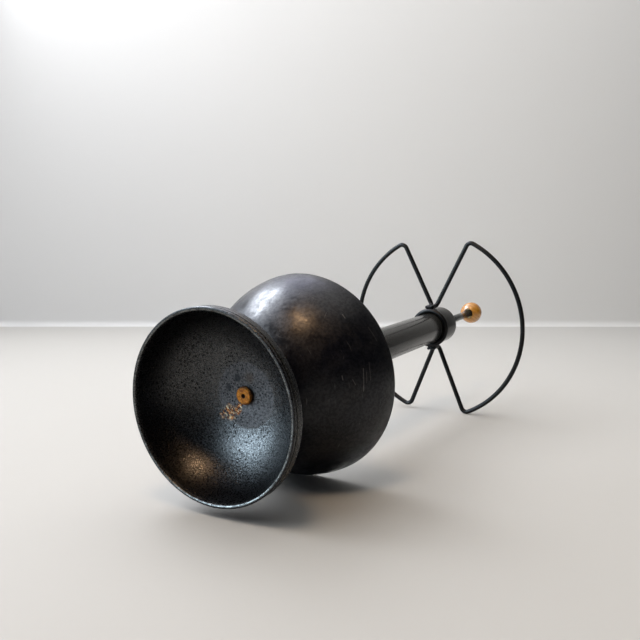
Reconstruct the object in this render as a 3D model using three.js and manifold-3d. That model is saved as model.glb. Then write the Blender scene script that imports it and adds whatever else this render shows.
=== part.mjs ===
// Free-standing umbrella stand: a hollow round foot, a bowl that catches drips, a tube column,
// a wire rack of two loops round a cap, and a carrying rod with a wooden ball.
// Millimetres, +Z up the column, origin at the centre of the foot's resting circle.

import * as THREE from 'three';
import { mergeVertices } from 'three/addons/utils/BufferGeometryUtils.js';
import Module from 'manifold-3d';

// ---- driving dimensions -------------------------------------------------------------------

const GAP = 0.3;                  // air left between pieces that touch
const BOLT_RADIUS = 5;            // M10 foot bolt
const BOLT_THREAD_HOLE = BOLT_RADIUS + GAP;
const BOLT_CLEAR_HOLE = BOLT_RADIUS + 0.5;
const ROD_RADIUS = 6;             // M12 rod
const ROD_THREAD_HOLE = ROD_RADIUS + GAP;
const ROD_CLEAR_HOLE = ROD_RADIUS + 0.5;

const FOOT_RADIUS = 100;
const FOOT_DISC_RADIUS = 35;      // flat disc in the middle of the foot
const FOOT_DISC_HEIGHT = 61.5;    // underside of that disc
const FOOT_WALL = 4.5;
const FOOT_CREASE = 13;           // degrees between disc and cove, where they meet
const RIM_BAND_HEIGHT = 14;       // turned band round the foot's edge
const RIM_LIP_HEIGHT = 3.4;
const RIM_GROOVE_DEPTH = 1.4;
const RIM_GROOVE_WIDTH = 2;

const BOLT_HEAD_RADIUS = 9.8;
const BOLT_HEAD_HEIGHT = 4.2;
const BOLT_RECESS_RADIUS = 2.2;
const BOLT_RECESS_DEPTH = 2.6;

const GASKET_THICKNESS = 3;       // between foot and bowl
const FLOOR_GASKET_THICKNESS = 2; // between bowl and column
const GASKET_RADIUS = 24;

const BOWL_RADIUS = 118.3;        // outside of the spun sphere
const BOWL_CENTRE_HEIGHT = 185;
const BOWL_RIM_HEIGHT = 174;
const BOWL_WALL = 1.5;

const TUBE_RADIUS = 23.6;
const TUBE_WALL = 2;
const TUBE_TOP = 596;
const PLUG_HEIGHT = 18;

const CAP_RADIUS = 28.7;
const CAP_BORE = 24;
const CAP_BOTTOM = 559.9;
const CAP_TOP = 600;
const CAP_ROOF = 3.5;
const CAP_EDGE = 2.4;

const WIRE_RADIUS = 3.5;
const RING_RADIUS = 27.4;         // centre line of the rack's ring
const RING_HEIGHT = 556;
const LOOP_HEIGHT = 580;          // plane of the two loops
const LOOP_ARC_OFFSET = 9.4;      // how far past the axis a loop's outer sweep is centred
const LEG_BEND_RADIUS = 7;        // where a loop turns down beside the cap
const RIGHT_LOOP = {              // bent by hand, so the two loops differ a little
  sweepRadius: 152,
  cornerRadius: 8,
  angles: [59.5, 71.4],           // straight sides, from the X axis, at -Y and at +Y
};
const LEFT_LOOP = { sweepRadius: 148.5, cornerRadius: 9, angles: [67.4, 64.4] };
const WELD_SIZE = [6.8, 3.3, 3.6]; // half-lengths of the bead that joins two legs to the ring
const WELD_HEIGHT = 557.4;

const WASHER_RADIUS = 12;
const WASHER_THICKNESS = 1.5;
const NUT_ACROSS_FLATS = 19;
const NUT_HEIGHT = 7;

const BALL_RADIUS = 18.9;
const BALL_HEIGHT = 752;
const BALL_HOLE_RADIUS = 8;
const BALL_HOLE_EDGE = 0.8;
const BALL_HOLE_TOP = BALL_HEIGHT + 6;
const INSERT_RADIUS = BALL_HOLE_RADIUS - GAP;
const INSERT_LENGTH = 16;

// ---- heights that follow ------------------------------------------------------------------

const footTop = FOOT_DISC_HEIGHT + FOOT_WALL;
const gasketBottom = footTop + GAP;
const bowlBottom = gasketBottom + GASKET_THICKNESS + GAP;
const floorGasketBottom = bowlBottom + BOWL_WALL + GAP;
const floorGasketTop = floorGasketBottom + FLOOR_GASKET_THICKNESS;
const tubeBottom = floorGasketTop + GAP;
const washerBottom = CAP_TOP + GAP;
const nutBottom = washerBottom + WASHER_THICKNESS + GAP;
const legEnd = RING_HEIGHT + WIRE_RADIUS + GAP;
const legX = WIRE_RADIUS + GAP / 2;
const legY = CAP_RADIUS + WIRE_RADIUS + 0.4;

// ---- materials ----------------------------------------------------------------------------

const FINISHES = {
  blackPaint: [0x17181b, 0.42, 0.3],
  columnPaint: [0x3b3c3a, 0.38, 0.35],
  blackWire: [0x0c0c0d, 0.45, 0.3],
  rustySteel: [0xa5601c, 0.85, 0.25],
  steel: [0x8d9092, 0.35, 0.95],
  brass: [0xb5923f, 0.35, 0.95],
  rubber: [0x1b1b1b, 0.9, 0],
  lacqueredWood: [0xc9822f, 0.3, 0],
};

function material(finish) {
  const [color, roughness, metalness] = FINISHES[finish];
  return new THREE.MeshStandardMaterial({ color, roughness, metalness });
}

// ---- shape helpers ------------------------------------------------------------------------

/** Points of a circular arc; angles in degrees, anticlockwise from the first axis. */
function arc(centre, radius, fromDegrees, toDegrees, steps) {
  const points = [];
  for (let i = 0; i <= steps; i += 1) {
    const angle = THREE.MathUtils.degToRad(fromDegrees + ((toDegrees - fromDegrees) * i) / steps);
    points.push([centre[0] + radius * Math.cos(angle), centre[1] + radius * Math.sin(angle)]);
  }
  return points;
}

/** A solid turned about Z from [radius, height] points that run anticlockwise. */
function turned(profile, segments) {
  const points = profile.map(([radius, height]) => new THREE.Vector2(radius, height));
  return new THREE.LatheGeometry(points, segments).rotateX(Math.PI / 2);
}

/** A ring with square edges, turned about Z. */
function turnedRing(inner, outer, bottom, top, segments) {
  return turned([[inner, bottom], [outer, bottom], [outer, top], [inner, top], [inner, bottom]], segments);
}

/** A path that visits its stations in turn, so that bends can have more of them than straights. */
class StationPath extends THREE.Curve {
  constructor(stations) {
    super();
    this.stations = stations;
  }

  getPoint(t, target = new THREE.Vector3()) {
    const place = t * (this.stations.length - 1);
    const index = Math.min(Math.floor(place), this.stations.length - 2);
    return target.lerpVectors(this.stations[index], this.stations[index + 1], place - index);
  }

  getPointAt(t, target) {
    return this.getPoint(t, target);
  }

  getTangentAt(t, target = new THREE.Vector3()) {
    const last = this.stations.length - 1;
    const index = Math.round(t * last);
    const before = this.stations[Math.max(index - 1, 0)];
    const here = this.stations[index];
    const after = this.stations[Math.min(index + 1, last)];
    const incoming = new THREE.Vector3().subVectors(here, before).normalize();
    const outgoing = new THREE.Vector3().subVectors(after, here).normalize();
    return target.addVectors(incoming, outgoing).normalize();
  }
}

/** Round wire swept along its stations. */
function wire(stations) {
  const outline = arc([0, 0], WIRE_RADIUS, 0, 324, 9).map(([x, y]) => new THREE.Vector2(x, y));
  const section = new THREE.Shape(outline);
  const options = {
    extrudePath: new StationPath(stations),
    steps: stations.length - 1,
    bevelEnabled: false,
  };
  return new THREE.ExtrudeGeometry(section, options);
}

// ---- solid modelling ----------------------------------------------------------------------

const wasm = await Module();
wasm.setup();

function toSolid(geometry) {
  const bare = geometry.index ? geometry.toNonIndexed() : geometry.clone();
  bare.deleteAttribute('normal');
  bare.deleteAttribute('uv');
  const merged = mergeVertices(bare, 1e-4);
  return new wasm.Manifold(new wasm.Mesh({
    numProp: 3,
    vertProperties: new Float32Array(merged.attributes.position.array),
    triVerts: new Uint32Array(merged.index.array),
  }));
}

function toGeometry(solid) {
  const mesh = solid.getMesh();
  const geometry = new THREE.BufferGeometry();
  geometry.setAttribute('position', new THREE.BufferAttribute(new Float32Array(mesh.vertProperties), 3));
  geometry.setIndex(new THREE.BufferAttribute(new Uint32Array(mesh.triVerts), 1));
  geometry.computeVertexNormals();
  return geometry;
}

// ---- base ---------------------------------------------------------------------------------

/** The cove between disc and rim, moved outwards by offset, as an arc from one height to another. */
function coveArc(offset, fromHeight, toHeight) {
  const crease = THREE.MathUtils.degToRad(FOOT_CREASE);
  const cove = FOOT_DISC_HEIGHT / (Math.cos(crease) - Math.sin(crease));
  const shift = cove * Math.sin(crease);
  const radius = cove + offset;
  const from = THREE.MathUtils.radToDeg(Math.asin((fromHeight + shift) / radius));
  const to = THREE.MathUtils.radToDeg(Math.asin((toHeight + shift) / radius));
  return arc([FOOT_DISC_RADIUS - shift, -shift], radius, from, to, 9);
}

/** Cast foot: coved shell, open below, with a flat centre and a grooved rim. */
function footShell() {
  const grooveRadius = FOOT_RADIUS - RIM_GROOVE_DEPTH;
  const grooveTop = RIM_LIP_HEIGHT + RIM_GROOVE_WIDTH;
  const profile = [
    [FOOT_DISC_RADIUS + FOOT_DISC_HEIGHT, 0],
    [FOOT_RADIUS - 0.8, 0],
    [FOOT_RADIUS, 0.8],
    [FOOT_RADIUS, RIM_LIP_HEIGHT],
    [grooveRadius, RIM_LIP_HEIGHT + 0.5],
    [grooveRadius, grooveTop],
    [FOOT_RADIUS - 0.3, grooveTop + 0.6],
    [FOOT_RADIUS - 0.3, RIM_BAND_HEIGHT],
    ...coveArc(FOOT_WALL, RIM_BAND_HEIGHT + 0.6, footTop),
    [BOLT_CLEAR_HOLE, footTop],
    [BOLT_CLEAR_HOLE, FOOT_DISC_HEIGHT],
    ...coveArc(0, FOOT_DISC_HEIGHT, 0).slice(0, -1),
    [FOOT_DISC_RADIUS + FOOT_DISC_HEIGHT, 0],
  ];
  return turned(profile, 60);
}

/** Low round-headed bolt that pulls foot, bowl and column together from below. */
function footBolt() {
  const headTop = FOOT_DISC_HEIGHT - GAP;
  const headBottom = headTop - BOLT_HEAD_HEIGHT;
  const profile = [
    [0, headBottom + BOLT_RECESS_DEPTH],
    [BOLT_RECESS_RADIUS, headBottom + BOLT_RECESS_DEPTH],
    [BOLT_RECESS_RADIUS, headBottom],
    [BOLT_HEAD_RADIUS - 1.6, headBottom],
    [BOLT_HEAD_RADIUS - 0.4, headBottom + 0.5],
    [BOLT_HEAD_RADIUS, headBottom + 1.5],
    [BOLT_HEAD_RADIUS, headTop],
    [BOLT_RADIUS, headTop],
    [BOLT_RADIUS, tubeBottom + PLUG_HEIGHT - 3],
    [0, tubeBottom + PLUG_HEIGHT - 3],
  ];
  return turned(profile, 28);
}

/** Angle, in degrees below the sphere's equator, at which a sphere reaches a height. */
function sphereAngle(radius, height) {
  return THREE.MathUtils.radToDeg(Math.asin((height - BOWL_CENTRE_HEIGHT) / radius));
}

/** Thin spun bowl: part of a sphere with a small flat bottom and an open top. */
function bowl() {
  const inside = BOWL_RADIUS - BOWL_WALL;
  const floor = bowlBottom + BOWL_WALL;
  const centre = [0, BOWL_CENTRE_HEIGHT];
  const outer = [sphereAngle(BOWL_RADIUS, bowlBottom), sphereAngle(BOWL_RADIUS, BOWL_RIM_HEIGHT)];
  const inner = [sphereAngle(inside, BOWL_RIM_HEIGHT), sphereAngle(inside, floor)];
  const profile = [
    [BOLT_CLEAR_HOLE, bowlBottom],
    ...arc(centre, BOWL_RADIUS, ...outer, 12),
    ...arc(centre, inside, ...inner, 12),
    [BOLT_CLEAR_HOLE, floor],
    [BOLT_CLEAR_HOLE, bowlBottom],
  ];
  return turned(profile, 60);
}

// ---- rack ---------------------------------------------------------------------------------

/** Thick cap that turns on the top of the column, with a rounded upper edge. */
function topCap() {
  const roof = CAP_TOP - CAP_ROOF;
  const profile = [
    [CAP_BORE, CAP_BOTTOM],
    [CAP_RADIUS - 0.5, CAP_BOTTOM],
    [CAP_RADIUS, CAP_BOTTOM + 0.5],
    ...arc([CAP_RADIUS - CAP_EDGE, CAP_TOP - CAP_EDGE], CAP_EDGE, 0, 90, 4),
    [ROD_CLEAR_HOLE, CAP_TOP],
    [ROD_CLEAR_HOLE, roof],
    [CAP_BORE, roof],
    [CAP_BORE, CAP_BOTTOM],
  ];
  return turned(profile, 44);
}

/** Half of a loop: leg beside the cap, bend, straight side and corner. side is -1 or 1 along Y. */
function halfLoop(side, degrees, { sweepRadius, cornerRadius }) {
  const angle = THREE.MathUtils.degToRad(degrees);
  const leg = new THREE.Vector2(legX, side * legY);
  const along = new THREE.Vector2(Math.cos(angle), side * Math.sin(angle));
  const inward = new THREE.Vector2(Math.sin(angle), -side * Math.cos(angle));
  const sweepCentre = new THREE.Vector2(-LOOP_ARC_OFFSET, 0);

  // The corner circle touches the side and, from within, the outer sweep.
  const offset = leg.clone().addScaledVector(inward, cornerRadius).sub(sweepCentre);
  const reach = sweepRadius - cornerRadius;
  const half = offset.dot(along);
  const run = -half + Math.sqrt(half * half - offset.lengthSq() + reach * reach);
  const corner = sweepCentre.clone().add(offset).addScaledVector(along, run);
  const toSweep = corner.clone().sub(sweepCentre);
  const sweepDegrees = THREE.MathUtils.radToDeg(Math.atan2(toSweep.y, toSweep.x));

  const stations = [new THREE.Vector3(leg.x, leg.y, legEnd)];
  for (const [out, up] of arc([LEG_BEND_RADIUS, 0], LEG_BEND_RADIUS, 180, 90, 5)) {
    const height = LOOP_HEIGHT - LEG_BEND_RADIUS + up;
    stations.push(new THREE.Vector3(leg.x + along.x * out, leg.y + along.y * out, height));
  }
  const turn = arc([corner.x, corner.y], cornerRadius, side * (90 + degrees), sweepDegrees, 6);
  for (const [x, y] of turn) {
    stations.push(new THREE.Vector3(x, y, LOOP_HEIGHT));
  }
  return { stations, sweepDegrees };
}

/** One wire loop, as its stations, on the +X side. */
function loopStations(shape) {
  const low = halfLoop(-1, shape.angles[0], shape);
  const high = halfLoop(1, shape.angles[1], shape);
  const sweep = arc([-LOOP_ARC_OFFSET, 0], shape.sweepRadius, low.sweepDegrees, high.sweepDegrees, 22)
    .slice(1, -1)
    .map(([x, y]) => new THREE.Vector3(x, y, LOOP_HEIGHT));
  return [...low.stations, ...sweep, ...high.stations.reverse()];
}

function loopRight() {
  return wire(loopStations(RIGHT_LOOP));
}

function loopLeft() {
  const stations = loopStations(LEFT_LOOP);
  return wire(stations.map((point) => new THREE.Vector3(-point.x, point.y, point.z)));
}

function rackRing() {
  return new THREE.TorusGeometry(RING_RADIUS, WIRE_RADIUS, 10, 44).translate(0, 0, RING_HEIGHT);
}

/** Weld bead under a pair of legs, cut back clear of ring, legs and cap. side is -1 or 1 along Y. */
function weld(side) {
  const clear = WIRE_RADIUS + GAP;
  const bead = new THREE.SphereGeometry(1, 16, 10)
    .scale(...WELD_SIZE)
    .translate(0, side * (legY + WIRE_RADIUS / 5), WELD_HEIGHT);
  const ring = new THREE.TorusGeometry(RING_RADIUS, clear, 12, 44).translate(0, 0, RING_HEIGHT);
  let solid = toSolid(bead).subtract(toSolid(ring));
  for (const x of [-legX, legX]) {
    const leg = new THREE.CylinderGeometry(clear, clear, 40, 14)
      .rotateX(Math.PI / 2)
      .translate(x, side * legY, legEnd - GAP + 20);
    solid = solid.subtract(toSolid(leg));
  }
  return toGeometry(solid);
}

// ---- handle -------------------------------------------------------------------------------

function handleRod() {
  const bottom = TUBE_TOP - PLUG_HEIGHT + 2;
  const top = BALL_HOLE_TOP - GAP;
  const profile = [[0, bottom], [ROD_RADIUS, bottom], [ROD_RADIUS, top], [0, top]];
  return turned(profile, 24);
}

function capNut() {
  const corner = NUT_ACROSS_FLATS / Math.sqrt(3);
  const outline = arc([0, 0], corner, 0, 300, 5).map(([x, y]) => new THREE.Vector2(x, y));
  const shape = new THREE.Shape(outline);
  const hole = arc([0, 0], ROD_THREAD_HOLE, 0, 345, 23).map(([x, y]) => new THREE.Vector2(x, y));
  shape.holes.push(new THREE.Path(hole));
  return new THREE.ExtrudeGeometry(shape, { depth: NUT_HEIGHT, bevelEnabled: false })
    .translate(0, 0, nutBottom);
}

/** Wooden ball, bored from below for the rod and its threaded insert. */
function ballKnob() {
  const mouth = BALL_HOLE_RADIUS + BALL_HOLE_EDGE;
  const start = -THREE.MathUtils.radToDeg(Math.acos(mouth / BALL_RADIUS));
  const surface = arc([0, BALL_HEIGHT], BALL_RADIUS, start, 90, 14);
  const profile = [
    [0, BALL_HOLE_TOP],
    [BALL_HOLE_RADIUS, BALL_HOLE_TOP],
    [BALL_HOLE_RADIUS, surface[0][1] + BALL_HOLE_EDGE],
    ...surface.slice(0, -1),
    [0, BALL_HEIGHT + BALL_RADIUS],
  ];
  return turned(profile, 36);
}

// ---- assembly -----------------------------------------------------------------------------

const insertTop = BALL_HOLE_TOP - GAP;
const PIECES = [
  ['foot_shell', footShell(), 'blackPaint'],
  ['foot_bolt', footBolt(), 'rustySteel'],
  ['foot_gasket',
    turnedRing(BOLT_CLEAR_HOLE, GASKET_RADIUS, gasketBottom, gasketBottom + GASKET_THICKNESS, 36),
    'rubber'],
  ['bowl', bowl(), 'blackPaint'],
  ['floor_gasket',
    turnedRing(BOLT_CLEAR_HOLE, GASKET_RADIUS, floorGasketBottom, floorGasketTop, 36),
    'rubber'],
  ['column_tube', turnedRing(TUBE_RADIUS - TUBE_WALL, TUBE_RADIUS, tubeBottom, TUBE_TOP, 44), 'columnPaint'],
  ['bottom_plug',
    turnedRing(BOLT_THREAD_HOLE, TUBE_RADIUS - TUBE_WALL - GAP, tubeBottom, tubeBottom + PLUG_HEIGHT, 36),
    'steel'],
  ['top_plug',
    turnedRing(ROD_THREAD_HOLE, TUBE_RADIUS - TUBE_WALL - GAP, TUBE_TOP - PLUG_HEIGHT, TUBE_TOP, 36),
    'steel'],
  ['top_cap', topCap(), 'columnPaint'],
  ['rack_ring', rackRing(), 'blackWire'],
  ['loop_right', loopRight(), 'blackWire'],
  ['loop_left', loopLeft(), 'blackWire'],
  ['weld_front', weld(-1), 'blackWire'],
  ['weld_back', weld(1), 'blackWire'],
  ['handle_rod', handleRod(), 'columnPaint'],
  ['cap_washer',
    turnedRing(ROD_CLEAR_HOLE, WASHER_RADIUS, washerBottom, washerBottom + WASHER_THICKNESS, 32),
    'steel'],
  ['cap_nut', capNut(), 'steel'],
  ['ball_knob', ballKnob(), 'lacqueredWood'],
  ['ball_insert',
    turnedRing(ROD_THREAD_HOLE, INSERT_RADIUS, insertTop - INSERT_LENGTH, insertTop, 24),
    'brass'],
];

const umbrellaStand = new THREE.Group();
for (const [name, geometry, finish] of PIECES) {
  const mesh = new THREE.Mesh(geometry, material(finish));
  mesh.name = name;
  umbrellaStand.add(mesh);
}

export default umbrellaStand;
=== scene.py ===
"""Umbrella stand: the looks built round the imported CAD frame.

The part stands upright in its own frame (+Z up the column). The picture shows it lying down, so the
main camera looks up at the foot from below, and the pale floor of the set runs along the stand's +Y side.
Everything is in metres; MM turns the millimetre sizes below into metres.
"""

import math
import random

import bmesh
import bpy
from mathutils import Matrix, Vector


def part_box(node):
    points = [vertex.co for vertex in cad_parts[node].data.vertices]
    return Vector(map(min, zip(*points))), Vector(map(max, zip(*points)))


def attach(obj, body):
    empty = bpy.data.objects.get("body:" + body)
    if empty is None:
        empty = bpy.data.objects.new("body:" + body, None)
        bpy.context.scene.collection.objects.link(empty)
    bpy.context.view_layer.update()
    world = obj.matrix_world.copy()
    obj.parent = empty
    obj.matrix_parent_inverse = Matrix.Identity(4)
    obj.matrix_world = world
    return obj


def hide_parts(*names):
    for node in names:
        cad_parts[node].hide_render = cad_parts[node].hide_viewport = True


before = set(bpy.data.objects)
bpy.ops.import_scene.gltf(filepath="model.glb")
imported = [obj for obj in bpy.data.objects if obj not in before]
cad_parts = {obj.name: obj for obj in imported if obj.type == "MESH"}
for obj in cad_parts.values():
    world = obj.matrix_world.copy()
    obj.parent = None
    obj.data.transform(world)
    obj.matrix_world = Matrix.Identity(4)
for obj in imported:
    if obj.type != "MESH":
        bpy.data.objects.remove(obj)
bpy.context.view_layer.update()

MM = 0.001

# ---- sizes, mm unless the line says otherwise -----------------------------------------------

ROUND_STEPS = 240                 # faces round a large turned piece
NUT_STEPS = 96                    # faces round the nut; a multiple of its six sides
ON_AXIS = 1e-6                    # a turned point nearer the axis than this is a pole
FOOT_DISC_RADIUS = 35
FOOT_WALL = 4.5
FOOT_CREASE = 13                  # degrees between disc and cove
RIM_BAND_HEIGHT = 14
RIM_LIP_HEIGHT = 3.4
RIM_GROOVE_DEPTH = 1.4
RIM_GROOVE_WIDTH = 2
RIM_GROOVE_SLOPE = 0.5
RIM_EDGE = 0.8
RIM_BAND_INSET = 0.3              # the band above the groove is this much narrower than the lip
RIM_SHOULDER = 0.6                # between a step's end and its full width
BOLT_CLEAR_HOLE = 5.5
BOLT_THREAD_HOLE = 5.3
ROD_CLEAR_HOLE = 6.5
ROD_THREAD_HOLE = 6.3
BOLT_RADIUS = 5
BOLT_HEAD_HEIGHT = 4.2
BOLT_HEAD_CHAMFER = (1.4, 1.6)    # inwards and upwards
BOLT_RECESS_RADIUS = 2.2
BOLT_RECESS_DEPTH = 2.6
BOLT_RECESS_EDGE = 0.15
BOWL_CENTRE_HEIGHT = 185
BOWL_WALL = 1.5
BOWL_LIP = 0.7                    # the rounded lip starts this far below the rim
TUBE_WALL = 2
CAP_BORE = 24
CAP_ROOF = 3.5
CAP_EDGE = 2.4
WIRE_RADIUS = 3.5
WIRE_BEVEL_STEPS = 5
LEG_SIDE_GAP = 0.15               # between a loop's leg and the middle plane
LEG_CAP_GAP = 0.4                 # between a loop's leg and the cap
LOOP_ARC_OFFSET = 9.4
LEG_BEND_RADIUS = 7
RIGHT_LOOP = {"sweep": 152, "corner": 8, "angles": (59.5, 71.4)}
LEFT_LOOP = {"sweep": 148.5, "corner": 9, "angles": (67.4, 64.4)}
WELD_BALLS = 9
WELD_BALL_SIZES = (0.60, 0.74)    # smallest and largest, of half the weld's height
WELD_SCATTER = 0.3                # of half the weld's width and height
WELD_VOXEL = 0.35
NUT_ACROSS_FLATS = 19
NUT_CHAMFER = 1
NUT_HOLE_CHAMFER = 0.6
ROD_CHAMFER = 0.6
THREAD_PITCH = 1.5
THREAD_DEPTH = 0.55
THREAD_RUNOUT = 2                 # plain length at each end of the rod
THREAD_ABOVE_NUT = 5
THREAD_BELOW_INSERT = 1
BALL_HOLE_RADIUS = 8
BALL_HOLE_DEPTH_ABOVE_CENTRE = 6
BALL_MOUTH_EASE = 0.9             # how much wider the hole's mouth is than the hole
BALL_MOUTH_RISE = 0.2


def spans(node):
    """Radius, lowest and highest height of a turned CAD node, in mm."""
    low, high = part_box(node)
    return high.x / MM, low.z / MM, high.z / MM


# ---- camera and set -------------------------------------------------------------------------

CAMERA_PLACE = Vector((0.4611, -0.1588, -0.5377))
CAMERA_TARGET = Vector((-0.0039, -0.0567, 0.2260))
CAMERA_LENS = 41.48
SENSOR_WIDTH = 36
SET_UP = Vector((0.0475, -0.9974, 0.0541)).normalized()   # upwards in the picture, off the set's floor

look = (CAMERA_TARGET - CAMERA_PLACE).normalized()
set_right = look.cross(SET_UP).normalized()
set_forward = SET_UP.cross(set_right).normalized()


def set_point(right, up, forward):
    """A place given along the set's own directions, from the foot's centre."""
    return set_right * right + SET_UP * up + set_forward * forward


def make_camera():
    camera = bpy.data.objects.new("camera", bpy.data.cameras.new("camera"))
    bpy.context.scene.collection.objects.link(camera)
    camera.data.lens = CAMERA_LENS
    camera.data.sensor_width = SENSOR_WIDTH
    camera_up = set_right.cross(look)
    turn = Matrix((set_right, camera_up, -look)).transposed()
    camera.matrix_world = Matrix.Translation(CAMERA_PLACE) @ turn.to_4x4()
    bpy.context.scene.camera = camera


# ---- node helpers ---------------------------------------------------------------------------

MIX_COLOUR_A, MIX_COLOUR_B, MIX_COLOUR_OUT = 6, 7, 2   # a Mix node's sockets share names, so by number


class Shader:
    """A material under construction, with short names for the nodes it uses."""

    def __init__(self, name):
        self.material = bpy.data.materials.new(name)
        self.material.use_nodes = True
        self.tree = self.material.node_tree
        self.tree.nodes.clear()
        self.output = self.tree.nodes.new("ShaderNodeOutputMaterial")
        self.surface = self.tree.nodes.new("ShaderNodeBsdfPrincipled")
        self.tree.links.new(self.surface.outputs[0], self.output.inputs["Surface"])
        self.coordinates = self.tree.nodes.new("ShaderNodeTexCoord").outputs["Object"]

    def put(self, socket, value):
        if isinstance(value, bpy.types.NodeSocket):
            self.tree.links.new(value, socket)
        else:
            socket.default_value = value

    def node(self, kind, inputs, **settings):
        made = self.tree.nodes.new(kind)
        for key, value in settings.items():
            setattr(made, key, value)
        for key, value in inputs.items():
            self.put(made.inputs[key], value)
        return made

    def scaled(self, scale):
        """Object coordinates stretched by a scale for each axis."""
        return self.node("ShaderNodeMapping", {"Vector": self.coordinates, "Scale": scale}).outputs[0]

    def noise(self, scale, detail=4, roughness=0.5, distortion=0, where=None):
        inputs = {"Vector": where or self.coordinates, "Scale": scale, "Detail": detail,
                  "Roughness": roughness, "Distortion": distortion}
        return self.node("ShaderNodeTexNoise", inputs).outputs[0]

    def cells(self, scale):
        """Distance to the nearest of many scattered points."""
        return self.node("ShaderNodeTexVoronoi", {"Vector": self.coordinates, "Scale": scale}).outputs[0]

    def ramp(self, value, *stops):
        """Maps a value through (position, grey or colour) stops."""
        made = self.node("ShaderNodeValToRGB", {"Fac": value})
        elements = made.color_ramp.elements
        while len(elements) < len(stops):
            elements.new(0.5)
        for element, (position, colour) in zip(elements, stops):
            element.position = position
            grey = isinstance(colour, (int, float))
            element.color = (colour, colour, colour, 1) if grey else (*colour, 1)
        return made.outputs[0]

    def fade(self, value, low, high, to_low=0.0, to_high=1.0):
        """Smooth change from to_low to to_high as value goes from low to high."""
        inputs = {"Value": value, "From Min": low, "From Max": high, "To Min": to_low, "To Max": to_high}
        return self.node("ShaderNodeMapRange", inputs, interpolation_type="SMOOTHSTEP").outputs[0]

    def math(self, operation, *values):
        return self.node("ShaderNodeMath", dict(enumerate(values)), operation=operation).outputs[0]

    def times(self, first, second):
        return self.math("MULTIPLY", first, second)

    def most(self, first, second):
        return self.math("MAXIMUM", first, second)

    def vector(self, operation, inputs):
        """A vector sum; its result is a number for DISTANCE and DOT_PRODUCT, otherwise a vector."""
        outputs = self.node("ShaderNodeVectorMath", inputs, operation=operation).outputs
        return outputs["Value" if operation in ("DISTANCE", "DOT_PRODUCT") else "Vector"]

    def blend(self, factor, first, second):
        """Mixes two colours."""
        first, second = [value if isinstance(value, bpy.types.NodeSocket) else (*value, 1)
                         for value in (first, second)]
        inputs = {"Factor": factor, MIX_COLOUR_A: first, MIX_COLOUR_B: second}
        return self.node("ShaderNodeMix", inputs, data_type="RGBA").outputs[MIX_COLOUR_OUT]

    def place(self):
        """Distance from the column's axis and height, both in metres."""
        split = self.node("ShaderNodeSeparateXYZ", {"Vector": self.coordinates}).outputs
        squares = self.math("ADD", self.math("POWER", split[0], 2.0), self.math("POWER", split[1], 2.0))
        return self.math("SQRT", squares), split[2]

    def spot(self, centre, radius, softness, ragged, grain=300):
        """1 inside a ball round centre, 0 outside, with an edge that noise makes ragged."""
        distance = self.vector("DISTANCE", {0: self.coordinates, 1: centre})
        wobble = self.times(self.math("SUBTRACT", self.noise(grain, 3), 0.5), ragged)
        distance = self.math("ADD", distance, wobble)
        return self.fade(distance, radius - softness, radius + softness, 1.0, 0.0)

    def line(self, start, end, width):
        """1 along a straight scratch between two places, fading at its edges."""
        along = end - start
        reach = self.vector("SUBTRACT", {0: self.coordinates, 1: start})
        dot = self.vector("DOT_PRODUCT", {0: reach, 1: along / along.length_squared})
        share = self.node("ShaderNodeClamp", {"Value": dot}).outputs[0]
        nearest = self.vector("SCALE", {0: along, "Scale": share})
        away = self.vector("DISTANCE", {0: reach, 1: nearest})
        return self.fade(away, width * 0.4, width, 1.0, 0.0)

    def bump(self, height, strength, distance, after=None):
        inputs = {"Height": height, "Strength": strength, "Distance": distance}
        if after is not None:
            inputs["Normal"] = after
        return self.node("ShaderNodeBump", inputs).outputs[0]

    def finish(self, colour, roughness, normal, metallic=0.0, specular=0.5, coat=0.0, coat_roughness=0.1):
        inputs = self.surface.inputs
        self.put(inputs["Base Color"], colour)
        self.put(inputs["Roughness"], roughness)
        self.put(inputs["Normal"], normal)
        self.put(inputs["Metallic"], metallic)
        inputs["Specular IOR Level"].default_value = specular
        inputs["Coat Weight"].default_value = coat
        inputs["Coat Roughness"].default_value = coat_roughness
        return self.material


# ---- materials ------------------------------------------------------------------------------

# Places on the foot, in metres; a pair is where a mask starts and where it ends.
DISC_HEIGHT = 0.0615
DISC_EDGE = (0.0345, 0.0352)
MOUTH_EDGE = (0.0950, 0.0965)
UNDERSIDE_TOP = (0.0622, 0.0640)
RIM_FACE_INNER = (0.0958, 0.0966)
RIM_FACE_OUTER = (0.0974, 0.0984)
RIM_FACE_HEIGHT = (0.0004, 0.0010)
RIM_LIP = (0.0955, 0.0970)
BAND_RADIUS = (0.0975, 0.0985)
BAND_BOTTOM = (0.0056, 0.0064)
BAND_TOP = (0.0072, 0.0095)
RUST_SPOTS = [((-0.0225, 0.0195), 0.0080), ((-0.0300, 0.0215), 0.0050), ((-0.0130, 0.0165), 0.0045),
              ((-0.0080, 0.0110), 0.0030)]
SMUDGES = [((-0.0088, -0.0182), 0.0042), ((-0.0211, -0.0077), 0.0036)]
BROWN_STAIN = ((0.0067, -0.0185), 0.0050)


def on_disc(spot):
    """A spot's centre and radius on the underside of the foot's disc, in metres."""
    (x, y), radius = spot
    return Vector((x, y, DISC_HEIGHT)), radius


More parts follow.
